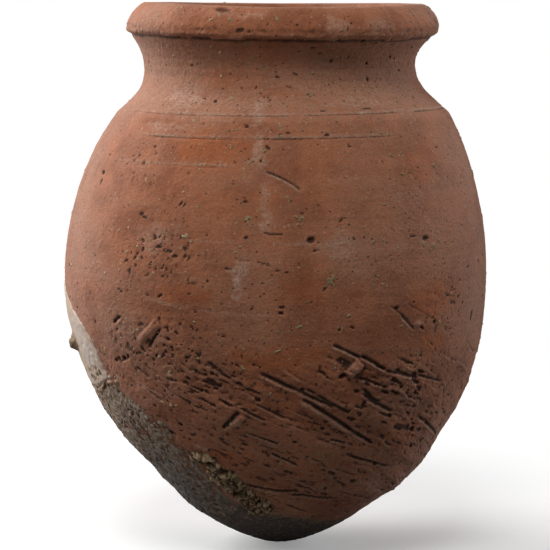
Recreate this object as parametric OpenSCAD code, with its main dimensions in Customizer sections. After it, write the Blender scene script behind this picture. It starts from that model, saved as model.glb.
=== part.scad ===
// Wide-mouthed terracotta storage jar for olives: a rolled rim on a short concave neck, an egg-shaped
// body with a knife-scraped lower half, and a blunt point instead of a foot. The pot is cut where the
// potter joined or changed it, and the lime and sand that it lay in are separate crusts on its wall.

/* [Overall size] */
// Height from the tip of the base to the top of the rim
jar_height = 270; // [266:1:276]
// Widest diameter of the body
belly_d = 210; // [204:1:216]
// Height of the widest point above the tip
belly_z = 138; // [134:1:142]

/* [Shoulder and neck] */
// Diameter at the corner between body and neck
shoulder_d = 164; // [160:1:168]
// Height of that corner
shoulder_z = 217; // [215:1:219]
// Narrowest outside diameter of the neck
neck_d = 134; // [132:0.5:137]
// Height of the narrowest point
neck_z = 240; // [239:0.5:242]

/* [Rim and mouth] */
// Widest diameter of the rolled rim
rim_d = 154; // [151:0.5:158]
// Height of the roll, from its lower edge to its top
roll_h = 14; // [13:0.1:15.5]
// Inside diameter of the cylindrical throat, where a bung sits
throat_d = 119; // [116:0.5:121]
// Height of the cylindrical wall of the throat
throat_h = 16; // [12:1:18]
// Width of the flat land wiped along the rim's top
land_w = 4; // [3:0.5:5]

/* [Walls] */
// Wall thickness at the belly
belly_wall = 8; // [7:0.5:10]
// Wall thickness at the shoulder corner
shoulder_wall = 7.5; // [7:0.5:9]
// Thickness of clay above the tip
base_wall = 14; // [11:0.5:17]

/* [Potter's joints] */
// Height of the joint between neck and rolled rim
rim_joint_z = 252; // [251:0.5:253]
// Height of the joint between shoulder and neck collar
neck_joint_z = 215.5; // [214:0.5:216.5]
// Height of the joint between belly and shoulder, where the second stage of throwing began
shoulder_joint_z = 176; // [168:1:184]
// Height where the thrown wall gives way to the scraped one
scrape_joint_z = 96; // [88:1:104]
// Height of the joint between the lower body and the solid-sided cone of the base
cone_joint_z = 50; // [44:1:56]
// Height of the top of the plug that closes the base
plug_joint_z = 18; // [16:1:22]

/* [Tool marks] */
// Radius of the round-nosed tool that scored the shoulder
score_r = 0.9; // [0.6:0.1:1.2]
// Depth of the knife cuts on the lower wall
cut_depth = 1.4; // [0.8:0.1:2]
// Radius of the chip knocked out of the rim's edge
chip_r = 5.5; // [4.5:0.1:6.5]

/* [Deposits] */
// Thickness of the white lime skin
patch_t = 1; // [0.8:0.1:1.6]
// Thickness of the grey-beige lime and soil skin
skirt_t = 0.8; // [0.6:0.1:1.4]
// Thickness of the sandy crust near the base
crust_t = 2.2; // [1.6:0.1:3]
// Diameter of the lime lump on the left side
lump_d = 13; // [10:0.5:15]
// How far the lump stands out from the wall
lump_out = 3.2; // [2.5:0.1:4]

/* [Hidden] */
$fn = 144;

belly_r = belly_d / 2;
shoulder_r = shoulder_d / 2;
neck_r = neck_d / 2;
rim_r = rim_d / 2;
throat_r = throat_d / 2;
roll_z = jar_height - roll_h;     // lower edge of the roll
rim_widest_z = roll_z + 3.5;      // height of the roll's widest circle
land_r = rim_r - 9;               // outer edge of the flat land
throat_z = rim_joint_z - throat_h; // lower end of the cylindrical throat
reach = belly_r + 20;             // beyond the widest part of everything
patch_low_z = 84;                 // lower edge of the white lime, where the grey begins
lump_z = 103;                     // height of the lump

// Corners of the wall outside and inside, as [radius, height]
belly_out = [belly_r, belly_z];
shoulder_out = [shoulder_r, shoulder_z];
neck_out = [neck_r, neck_z];
roll_edge = [rim_r - 1, roll_z];
belly_in = [belly_r - belly_wall, belly_z];
shoulder_in = [shoulder_r - shoulder_wall, shoulder_z - 5];

// A cubic curve from p[0] to p[3], pulled towards p[1] and p[2], as steps + 1 points
function curve(p, steps) = [for (i = [0:steps]) let (t = i / steps, s = 1 - t)
    s * s * s * p[0] + 3 * s * s * t * p[1] + 3 * s * t * t * p[2] + t * t * t * p[3]];

// The outside of the wall from the tip to the roll's lower edge, moved outwards by grow
function body_out(grow) = concat(
    curve([[0, -grow], [23, -grow], belly_out + [grow, -95], belly_out + [grow, 0]], 26),
    curve([belly_out + [grow, 0], belly_out + [grow, 24], shoulder_out + [15 + grow, -23 + grow],
           shoulder_out + [grow * 0.8, grow * 0.6]], 14),
    curve([shoulder_out + [grow * 0.8, grow * 0.6], shoulder_out + [-8 + grow, 7.5 + grow],
           neck_out + [grow, -11.5], neck_out + [grow, 0]], 10),
    curve([neck_out + [grow, 0], neck_out + [grow, 8.5], roll_edge + [grow - 1.4, -2.1],
           roll_edge + [grow, 0]], 6));

// The rolled rim: full below, drawn in towards its top
rim_out = concat(
    curve([roll_edge, roll_edge + [0.6, 1], [rim_r, rim_widest_z - 1.5], [rim_r, rim_widest_z]], 5),
    curve([[rim_r, rim_widest_z], [rim_r, rim_widest_z + 2.5], [land_r + 4, jar_height],
           [land_r, jar_height]], 10));

// The inside from the rim's land down through the throat to the floor
rim_in = curve([[land_r - land_w, jar_height], [land_r - land_w - 3, jar_height],
                [throat_r, jar_height - 4], [throat_r, rim_joint_z]], 8);
body_in = concat(
    [[throat_r, throat_z]],
    curve([[throat_r, throat_z], [throat_r, throat_z - 12], shoulder_in + [-5.5, 8], shoulder_in], 10),
    curve([shoulder_in, shoulder_in + [15, -22], belly_in + [0, 24], belly_in], 14),
    curve([belly_in, belly_in + [0, -93], [20, base_wall], [0, base_wall]], 26));

module wall_section() polygon(concat(body_out(0), rim_out, rim_in, body_in));

// The part of the wall between two heights
module wall_between(low, high) rotate_extrude() intersection() {
    wall_section();
    translate([0, low]) square([reach, high - low]);
}

// A skin of the given thickness on the outside of the wall, up to the shoulder
module skin(thickness) rotate_extrude() difference() {
    intersection() {
        polygon(concat(body_out(thickness), [[0, roll_z]]));
        translate([0, -thickness]) square([reach, shoulder_z]);
    }
    polygon(concat(body_out(0), [[0, roll_z]]));
}

// The jar without its hollow, to keep a deposit out of the clay
module solid_body(grow = 0) rotate_extrude() polygon(concat(body_out(grow), [[0, roll_z]]));

// Radius of the outside of the wall at height z, below the roll
function wall_r(z) = lookup(z, [for (p = body_out(0)) [p[1], p[0]]]);

// One shallow round groove scored around the jar at height z
module score(z) rotate_extrude() translate([wall_r(z) + score_r / 3, z]) circle(r = score_r, $fn = 24);

// One knife cut that follows the wall: turn is the angle round the jar from the front, fall its slope
module knife_cut(turn, z, length, fall, width) {
    blade_r = (width * width / 4 + cut_depth * cut_depth) / (2 * cut_depth);
    lean = atan2(wall_r(z + 4) - wall_r(z - 4), 8);
    sweep_r = wall_r(z) * 1.3;
    sweep = length / sweep_r * 180 / PI;
    rotate([0, 0, turn]) translate([0, -wall_r(z), z]) rotate([lean, fall, 0])
        translate([0, sweep_r, 0]) rotate([0, 0, -90 - sweep / 2])
            rotate_extrude(angle = sweep) translate([sweep_r + blade_r - cut_depth, 0])
                circle(r = blade_r, $fn = 32);
}

module knife_cuts() {
    // the long cuts across the front and the right
    knife_cut(34, 102, 66, 23, 5.5);
    knife_cut(5.5, 91.5, 42, 29, 5);
    knife_cut(13, 86.5, 34, 32, 4.5);
    knife_cut(19, 74, 56, 36, 6.5);
    knife_cut(28.5, 82.5, 30, 32, 5);
    knife_cut(28, 94, 30, 23, 4.5);
    knife_cut(58, 66, 50, 30, 6);
    // shorter ones carried on round the back
    for (i = [0:5])
        knife_cut(95 + 33 * i, 66 + 11 * (i % 3), 46, 30 - 5 * (i % 2), 5.5);
}

// A deposit's outline in plan from one side: points are [across, height]
module from_front(points) rotate([90, 0, 0]) linear_extrude(reach) polygon(points);
module from_left(points) rotate([0, 0, -90]) from_front(points);

module rolled_rim() color([0.53, 0.33, 0.25]) difference() {
    wall_between(rim_joint_z, jar_height + 1);
    // the chip in the outer edge of the land, left of the front
    rotate([0, 0, -25]) translate([0, -land_r - 4, jar_height + 3.4]) sphere(r = chip_r, $fn = 48);
}

module neck_collar() color([0.55, 0.35, 0.25]) difference() {
    wall_between(neck_joint_z, rim_joint_z);
    score(shoulder_z + 2.6);
}

module shoulder() color([0.56, 0.35, 0.24]) difference() {
    wall_between(shoulder_joint_z, neck_joint_z);
    score(shoulder_z - 7.6);
    score(shoulder_z - 20.3);
}

module belly() color([0.52, 0.31, 0.20]) difference() {
    wall_between(scrape_joint_z, shoulder_joint_z);
    knife_cuts();
}

module lower_body() color([0.42, 0.25, 0.17]) difference() {
    wall_between(cone_joint_z, scrape_joint_z);
    knife_cuts();
}

module base_cone() color([0.36, 0.24, 0.17]) difference() {
    wall_between(plug_joint_z, cone_joint_z);
    knife_cuts();
}

module base_plug() color([0.29, 0.22, 0.17]) wall_between(0, plug_joint_z);

// Outlines of the deposits, chosen to follow their edges on the jar
patch_edge = [[27, 127], [40, 120], [47, 112], [51, 103], [53, 95], [51, patch_low_z],
              [-6, patch_low_z], [-40, 92], [-62, 104], [-58, 118], [-34, 128], [0, 133]];
skirt_edge = [[-120, 84], [-84, 86], [-76, 85], [-69, 81], [-62, 74], [-55, 71], [-48, 60],
              [-43, 51], [-36, 43], [-27, 32], [-20, 27], [-50, 16], [-120, 16]];
skirt_back_edge = [[-120, 84], [-84, 86], [-66, 82], [-50, 70], [-40, 56], [-30, 44], [-18, 32],
                   [-10, 24], [-50, 16], [-120, 16]];
crust_edge = [[-48, 59], [-36, 60], [-27, 53], [-21, 47], [-16, 39], [-8, 33], [-2, 26],
              [-14, 22], [-27, 31], [-36, 43], [-43, 51]];

module lime_patch() color([0.78, 0.75, 0.73]) intersection() {
    skin(patch_t);
    from_left(patch_edge);
}

module lime_skirt() color([0.52, 0.45, 0.39]) difference() {
    intersection() {
        skin(skirt_t);
        union() {
            from_front(skirt_edge);
            mirror([0, 1, 0]) from_front(skirt_back_edge);
        }
        translate([-reach, -reach, plug_joint_z])
            cube([2 * reach, 2 * reach, patch_low_z - plug_joint_z]);
    }
    from_front(crust_edge);
}

module lime_lump() color([0.50, 0.42, 0.36]) difference() {
    rotate([0, 0, 10]) translate([lump_d / 2 - lump_out - wall_r(lump_z), 0, lump_z])
        sphere(d = lump_d, $fn = 48);
    solid_body(patch_t);
}

module sand_crust() color([0.44, 0.38, 0.31]) intersection() {
    skin(crust_t);
    from_front(crust_edge);
}

rolled_rim();
neck_collar();
shoulder();
belly();
lower_body();
base_cone();
base_plug();
lime_patch();
lime_skirt();
lime_lump();
sand_crust();
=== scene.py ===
# The finish of a wide-mouthed terracotta olive jar: one thrown, scraped and weathered wall, cut into the
# sections of the frame, with its lime and sand crusts set into it. Lengths are in millimetres until a
# mesh is made. turn is the angle round the jar in degrees: 0 faces the camera, 90 is the jar's right.
import math

import bpy
import numpy as np
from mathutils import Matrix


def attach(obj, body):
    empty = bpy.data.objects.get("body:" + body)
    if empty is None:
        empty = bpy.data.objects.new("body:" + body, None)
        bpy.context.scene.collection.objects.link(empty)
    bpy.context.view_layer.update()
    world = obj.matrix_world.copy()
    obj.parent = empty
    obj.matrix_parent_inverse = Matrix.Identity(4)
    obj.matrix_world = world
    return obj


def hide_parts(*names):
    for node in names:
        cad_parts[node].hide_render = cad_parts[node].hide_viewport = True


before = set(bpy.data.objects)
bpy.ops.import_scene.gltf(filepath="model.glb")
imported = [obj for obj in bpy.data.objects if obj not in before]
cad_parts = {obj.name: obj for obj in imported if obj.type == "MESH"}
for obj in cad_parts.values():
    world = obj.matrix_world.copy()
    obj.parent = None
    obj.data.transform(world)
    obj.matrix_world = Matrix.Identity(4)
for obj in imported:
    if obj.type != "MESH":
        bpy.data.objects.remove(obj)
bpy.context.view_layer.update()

MM = 0.001
rng = np.random.default_rng(270)

# Form of the wall, as [radius, height]
JAR_HEIGHT = 270.0
BELLY_OUT, BELLY_IN = (105.0, 138.0), (97.0, 138.0)
SHOULDER_OUT, SHOULDER_IN = (82.0, 217.0), (74.5, 212.0)
NECK_OUT = (67.0, 240.0)
ROLL_EDGE = (76.0, 256.0)
RIM_WIDEST = (77.0, 259.5)
LAND_OUT, LAND_IN = 68.0, 64.0
THROAT_R, THROAT_LOW = 59.5, 236.0
BASE_THICKNESS = 14.0

# Heights of the potter's joints, from the plug of the base up to the rolled rim
JOINTS = (18.0, 50.0, 96.0, 176.0, 215.5, 252.0)
SECTIONS = ("base_plug", "base_cone", "lower_body", "belly", "shoulder", "neck_collar", "rolled_rim")
SLOTS = ("base_clay", "cone_clay", "lower_clay", "belly_clay", "shoulder_clay", "neck_clay", "rim_clay")

# Spacing of the wall's grid
ROW_STEP = 0.65
RIM_STEP = 0.7
INNER_STEP = 3.0
FRONT_TURN = 100.0
FRONT_COLUMNS, BACK_COLUMNS = 600, 210


def curve(points, steps=160):
    """Points along the cubic curve from the first point to the last."""
    t = np.linspace(0, 1, steps)[:, None]
    a, b, c, d = np.array(points, float)
    return (1 - t) ** 3 * a + 3 * (1 - t) ** 2 * t * b + 3 * (1 - t) * t * t * c + t ** 3 * d


def offset(point, dr, dz):
    return (point[0] + dr, point[1] + dz)


def wall_path():
    """The wall's section from the tip outside, over the rim, to the middle of the floor inside."""
    outside = [
        curve([(0, 0), (23, 0), offset(BELLY_OUT, 0, -95), BELLY_OUT], 500),
        curve([BELLY_OUT, offset(BELLY_OUT, 0, 24), offset(SHOULDER_OUT, 15, -23), SHOULDER_OUT]),
        curve([SHOULDER_OUT, offset(SHOULDER_OUT, -8, 7.5), offset(NECK_OUT, 0, -11.5), NECK_OUT]),
        curve([NECK_OUT, offset(NECK_OUT, 0, 8.5), offset(ROLL_EDGE, -1.4, -2.1), ROLL_EDGE]),
        curve([ROLL_EDGE, offset(ROLL_EDGE, 0.6, 1), offset(RIM_WIDEST, 0, -1.5), RIM_WIDEST]),
        curve([RIM_WIDEST, offset(RIM_WIDEST, 0, 2.5), (LAND_OUT + 4, JAR_HEIGHT), (LAND_OUT, JAR_HEIGHT)]),
    ]
    inside = [
        curve([(LAND_IN, JAR_HEIGHT), (LAND_IN - 3, JAR_HEIGHT), (THROAT_R, JAR_HEIGHT - 4),
               (THROAT_R, JOINTS[-1])]),
        curve([(THROAT_R, THROAT_LOW), (THROAT_R, THROAT_LOW - 12), offset(SHOULDER_IN, -5.5, 8),
               SHOULDER_IN]),
        curve([SHOULDER_IN, offset(SHOULDER_IN, 15, -22), offset(BELLY_IN, 0, 24), BELLY_IN]),
        curve([BELLY_IN, offset(BELLY_IN, 0, -93), (20, BASE_THICKNESS), (0, BASE_THICKNESS)], 500),
    ]
    path = np.vstack(outside + inside)
    step = np.hypot(*np.diff(path, axis=0).T)
    path = path[np.concatenate([[True], step > 1e-6])]
    arc = np.concatenate([[0], np.cumsum(np.hypot(*np.diff(path, axis=0).T))])
    top = np.argmax(path[:, 1] > JAR_HEIGHT - 1e-6)
    return path, arc, top


PATH, PATH_ARC, PATH_TOP = wall_path()


def outer_arc(z):
    """Distance up the outside from the tip to height z."""
    return np.interp(z, PATH[:PATH_TOP + 1, 1], PATH_ARC[:PATH_TOP + 1])


def inner_arc(z):
    """Distance from the tip, over the rim, down the inside to height z."""
    return np.interp(-z, -PATH[PATH_TOP + 1:, 1], PATH_ARC[PATH_TOP + 1:])


def spaced(start, end, step):
    return np.linspace(start, end, max(2, round((end - start) / step) + 1))[:-1]


def wall_rows():
    """The rows' distances along the section, and the row of each joint outside and inside."""
    outer = [outer_arc(z) for z in JOINTS]
    inner = [inner_arc(z) for z in reversed(JOINTS)]
    stops = [0.0] + outer + inner + [PATH_ARC[-1]]
    steps = [ROW_STEP] * len(JOINTS) + [RIM_STEP] + [INNER_STEP] * len(JOINTS)
    parts = [spaced(a, b, s) for a, b, s in zip(stops, stops[1:], steps)]
    joint_rows = np.cumsum([len(p) for p in parts])
    return np.concatenate(parts + [[PATH_ARC[-1]]]), joint_rows


ARC, JOINT_ROWS = wall_rows()
ROWS = len(ARC)
OUTER_ROWS = int(np.searchsorted(ARC, PATH_ARC[PATH_TOP]))
front = np.linspace(-FRONT_TURN, FRONT_TURN, FRONT_COLUMNS, endpoint=False)
back = np.linspace(FRONT_TURN, 360 - FRONT_TURN, BACK_COLUMNS, endpoint=False)
TURN = np.concatenate([front, back])
COLUMNS = len(TURN)
ROW_R = np.interp(ARC, PATH_ARC, PATH[:, 0])
ROW_Z = np.interp(ARC, PATH_ARC, PATH[:, 1])
OUTSIDE = (np.arange(ROWS) < OUTER_ROWS)[:, None]


def row_normals():
    """The section's outward normals, smoothed over about a millimetre."""
    ahead, behind = ARC + 0.6, ARC - 0.6
    dr = np.interp(ahead, PATH_ARC, PATH[:, 0]) - np.interp(behind, PATH_ARC, PATH[:, 0])
    dz = np.interp(ahead, PATH_ARC, PATH[:, 1]) - np.interp(behind, PATH_ARC, PATH[:, 1])
    size = np.hypot(dr, dz)
    return dz / size, -dr / size


NORMAL_R, NORMAL_Z = row_normals()
SIN, COS = np.sin(np.radians(TURN)), np.cos(np.radians(TURN))


def around(r, z):
    """Points at radius r and height z, one for each row and column."""
    r = np.broadcast_to(r, (ROWS, COLUMNS))
    z = np.broadcast_to(z, (ROWS, COLUMNS))
    return np.stack([r * SIN, -r * COS, z], -1)


SMOOTH = around(ROW_R[:, None], ROW_Z[:, None]).astype(np.float32)


# Random fields

def noise(size, seed, points=SMOOTH):
    """Smooth random values from -1 to 1 that vary over size, which is one length or one for each axis."""
    place = points / np.asarray(size, np.float32) + 517.3
    cell = np.floor(place)
    part = place - cell
    part = part * part * (3 - 2 * part)
    cell = cell.astype(np.uint32)
    total = np.zeros(points.shape[:-1], np.float32)
    for corner in np.ndindex(2, 2, 2):
        share = 1.0
        mix = np.uint32((seed * 2654435 + 97) % 2 ** 32)
        for axis, prime in enumerate((73856093, 19349663, 83492791)):
            share = share * (part[..., axis] if corner[axis] else 1 - part[..., axis])
            mix = mix ^ ((cell[..., axis] + np.uint32(corner[axis])) * np.uint32(prime))
        mix = (mix ^ (mix >> np.uint32(15))) * np.uint32(2246822519)
        mix = (mix ^ (mix >> np.uint32(13))) * np.uint32(3266489917)
        total += share * ((mix ^ (mix >> np.uint32(16))).astype(np.float32) / 2 ** 31 - 1)
    return total


def rough(size, seed, octaves=3, points=SMOOTH):
    """Noise with finer noise on it."""
    size = np.asarray(size, float)
    return sum(noise(size / 2 ** k, seed + 31 * k, points) / 2 ** k for k in range(octaves))


def ramp(x, low, high):
    """0 below low, 1 above high and smooth between them. low may be the larger."""
    t = np.clip((x - low) / (high - low), 0, 1)
    return t * t * (3 - 2 * t)


# Marks on the wall. Each field holds one value for each row and column of the whole section.

height = np.zeros((ROWS, COLUMNS), np.float32)  # how far the clay stands out from the smooth wall
pale = np.zeros_like(height)  # salt bloom, pale scratches and painted highlight on the burrs of cuts
dark = np.zeros_like(height)  # dirt and painted shade in pits, cuts and hollows, and painted shade under the rim roll
burnt = np.zeros_like(height)  # the more orange clay
veil = np.zeros_like(height)  # grey-pink dust over the clay
soot = np.zeros_like(height)  # the dark stain of the base
bluish = np.zeros_like(height)  # the grey lime film near the base
green = np.zeros_like(height)  # the greenish sandy band above the stain


def window(turn, z, reach):
    """The grid of the outside within reach of a point, and its distances across and up from there."""
    middle = outer_arc(z)
    first, last = np.searchsorted(ARC[:OUTER_ROWS], [middle - reach, middle + reach])
    rows = np.arange(first, last)
    away = (TURN - turn + 180) % 360 - 180
    radius = np.interp(middle, ARC, ROW_R)
    columns = np.flatnonzero(np.abs(away) * math.pi / 180 * max(radius, 4) < reach)
    across = np.radians(away[columns])[None, :] * ROW_R[rows][:, None]
    up = (ARC[rows] - middle)[:, None]
    return np.ix_(rows, columns), across, np.broadcast_to(up, across.shape)


def pit(turn, z, wide, high, depth, tilt=0.0, dirt_and_shade=0.8):
    """A hole with steep sides, where a grain or a bit of straw has gone. tilt raises its right end."""
    at, x, y = window(turn, z, max(wide, high) * 0.9 + 1)
    c, s = math.cos(math.radians(tilt)), math.sin(math.radians(tilt))
    d = np.hypot((x * c + y * s) / (wide / 2), (y * c - x * s) / (high / 2))
    shape = 1 / (1 + np.exp((d - 0.9) * 7))
    height[at] -= depth * shape
    # the hole is painted dark: dirt and painted shade
    dark[at] = np.maximum(dark[at], dirt_and_shade * shape)


def blob(field, turn, z, wide, high, amount, seed=0):
    """Adds a soft patch with a ragged edge to a field."""
    at, x, y = window(turn, z, max(wide, high))
    d = np.hypot(x / (wide / 2), y / (high / 2))
    if seed:
        d = d + 0.45 * rough(max(3.0, min(wide, high) * 0.35), seed, 3, SMOOTH[at])
    field[at] += amount * ramp(d, 1.25, 0.35)


def stroke(turn, z, length, slope, width, depth, lip=0.0, bend=0.0, light=0.0, dirt_and_shade=0.5, square=2.0,
           ragged=0.2):
    """A straight or bowed mark through a point. slope falls to the right, in degrees. depth is its
    groove, or its ridge when negative; lip is the burr along its lower side. ragged breaks it up."""
    at, x, y = window(turn, z, length / 2 + 3 * width + abs(bend))
    c, s = math.cos(math.radians(slope)), math.sin(math.radians(slope))
    along = (x * c - y * s) / (length / 2)
    bow = bend * (along ** 2 - 0.5)
    aside = (x * s + y * c - bow) / (width / 2)
    broken = rough(max(2.5, 1.6 * width), int(abs(turn) * 7 + z * 3), 2, SMOOTH[at])
    aside = aside + 0.8 * ragged * broken
    ends = ramp(np.abs(along), 1.0, 0.7) * np.clip(1 + 1.6 * ragged * broken, 0, 1.4)
    groove = np.exp(-np.abs(aside) ** square) * ends
    height[at] += lip * np.exp(-((aside + 1.7) / 0.9) ** 2) * ends - depth * groove
    # the lower side is painted paler: pale scratched clay and a painted highlight on the burr
    if light:
        pale[at] = np.maximum(pale[at], light * np.exp(-((aside + 1.5) / 0.9) ** 2) * ends)
    # the groove is painted dark: dirt and painted shade
    if depth > 0 and dirt_and_shade:
        dark[at] = np.maximum(dark[at], dirt_and_shade * np.exp(-((aside - 0.2) / 0.8) ** 2) * ends)


def scratch(turn, z, length, slope, width=0.7, light=0.5, depth=0.12, bend=0.0):
    """A fine scratch that shows paler than the clay."""
    stroke(turn, z, length, slope, width, depth, bend=bend, dirt_and_shade=0)
    at, x, y = window(turn, z, length / 2 + 2 * width + abs(bend))
    c, s = math.cos(math.radians(slope)), math.sin(math.radians(slope))
    along = (x * c - y * s) / (length / 2)
    aside = (x * s + y * c - bend * (along ** 2 - 0.5)) / width
    pale[at] = np.maximum(pale[at], light * np.exp(-aside ** 2) * ramp(np.abs(along), 1.0, 0.6))


Z = ROW_Z[:, None]
scraped = ramp(Z + 5 * noise(28, 5), 112, 98) * OUTSIDE
neck_zone = ramp(Z, 214, 222) * ramp(Z, 257, 252) * OUTSIDE
rim_zone = ramp(Z, 251, 255) * OUTSIDE
grit = np.zeros_like(height)  # where the coarse clay shows
torn = np.zeros_like(height)  # where the knife tore the clay


def dragged(long, wide, seed, octaves=2, slope=28):
    """Noise drawn out along the way the knife was pulled, falling to the right."""
    s = 80 * np.radians((TURN + 180) % 360 - 180)[None, :]
    t = np.minimum(ARC, ARC[OUTER_ROWS])[:, None]
    c, n = math.cos(math.radians(slope)), math.sin(math.radians(slope))
    u, v = s * c - t * n, s * n + t * c
    place = np.stack([u / long, v / wide, np.zeros_like(u)], -1).astype(np.float32)
    return rough(1.0, seed, octaves, place) * ramp(np.abs(TURN - 180), 1, 12)


def throwing():
    """Out-of-round wall, wheel lines and the skin of the clay."""
    height[:] += 0.35 * noise(75, 11) + 0.14 * noise(26, 12)
    wheel = 0.10 * noise((70, 70, 4.5), 13) + 0.06 * noise((40, 40, 1.9), 14)
    height[:] += wheel * ((1 - scraped) * OUTSIDE + 0.6 * neck_zone)
    height[:] += 0.06 * noise((26, 26, 1.2), 15) * neck_zone
    height[:] += (0.07 * rough(2.6, 16) + 0.06 * noise(1.3, 17)) * OUTSIDE
    inside = 0.9 * np.sin(ROW_Z * 2 * math.pi / 13.0 + np.radians(TURN)[:, None]).T
    height[:] += (inside + 0.3 * noise(20, 18)) * (1 - OUTSIDE) * ramp(Z, 236, 205)


def rim():
    """The roll: pressed unevenly, ragged where its lower edge was smeared on to the neck."""
    crumbly = 0.55 + 0.45 * rough((5, 5, 4), 21, 3)
    height[:] += 0.75 * crumbly * np.exp(-((Z - 256.6) / 1.1) ** 2) * OUTSIDE
    height[:] -= 0.8 * (0.6 + 0.5 * noise((6, 6, 9), 22)) * np.exp(-((Z - 254.2) / 1.0) ** 2) * OUTSIDE
    height[:] += rim_zone * (0.28 * noise((16, 16, 9), 23) + 0.12 * rough(2.4, 24, 3))
    stroke(-20, 254.8, 20, -2, 2.0, -0.7, square=4)
    stroke(-44, 255.2, 16, 2, 1.6, -0.4, square=4)
    stroke(14, 255.6, 18, 3, 1.8, -0.5, square=4)
    stroke(48, 254.8, 22, -3, 1.8, -0.5, square=4)
    pit(-15.3, 259.0, 3.6, 1.9, 0.7, 12, 0.8)
    pit(-12.0, 258.2, 1.6, 1.1, 0.5, 0, 0.6)
    pit(-29.8, 258.6, 1.1, 1.1, 0.4, 0, 0.4)
    pit(4.7, 261.9, 1.2, 1.0, 0.5)
    pit(24.5, 262.6, 1.3, 1.0, 0.5)
    pit(23.0, 259.8, 1.1, 0.9, 0.5)
    pit(75.0, 262.0, 5.0, 1.5, 0.9, -38, 0.8)
    pit(-24.0, 268.6, 8.0, 4.0, 1.4, -4, 0.0)
    for turn, z in ((-41, 254.4), (31, 254.2), (56, 254.4), (63, 254.0), (21, 254.4)):
        pit(turn, z, 2.2, 1.1, 0.7, 0, 0.9)
    blob(burnt, 62, 262.5, 9, 9, 1.0, 25)
    blob(burnt, 50, 261, 5, 4, 0.7, 26)
    blob(pale, 19, 262, 12, 9, 0.45, 27)
    blob(pale, 36, 262, 20, 8, 0.3, 28)
    blob(pale, -14, 266, 20, 4, 0.3, 29)
    blob(pale, -29.5, 257.6, 1.4, 1.2, 1.0)


def shoulder_scores():
    """Three lines scored round the shoulder while it turned, each fading in places."""
    for z, low, high, depth, seed in ((219.7, -66, 100, 0.45, 31), (209.4, -52, 36, 0.40, 32),
                                      (196.7, -56, -14, 0.20, 33)):
        centre = outer_arc(z + 0.4 * np.sin(np.radians(TURN * 2 + seed)))
        aside = ARC[:, None] - centre[None, :]
        on = ramp(TURN, low - 8, low + 8) * ramp(TURN, high + 8, high - 8)
        on = np.maximum(on, 0.7 * ramp(TURN, 110, 150) * ramp(TURN, 255, 215))
        strength = on * np.clip(0.8 + 0.6 * noise((10, 10, 60), seed), 0.15, 1.3)
        height[:] -= depth * strength * np.exp(-(aside / 0.5) ** 2) * OUTSIDE
        height[:] += 0.35 * depth * strength * np.exp(-((aside - 1.2) / 0.6) ** 2) * OUTSIDE
        pale[:] += 0.5 * strength * np.exp(-((aside - 0.9) / 0.6) ** 2) * OUTSIDE
        burnt[:] += 0.6 * strength * np.exp(-((aside + 0.2) / 0.6) ** 2) * OUTSIDE
    blob(pale, 28.1, 220.4, 2.2, 1.6, 1.0)


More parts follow.
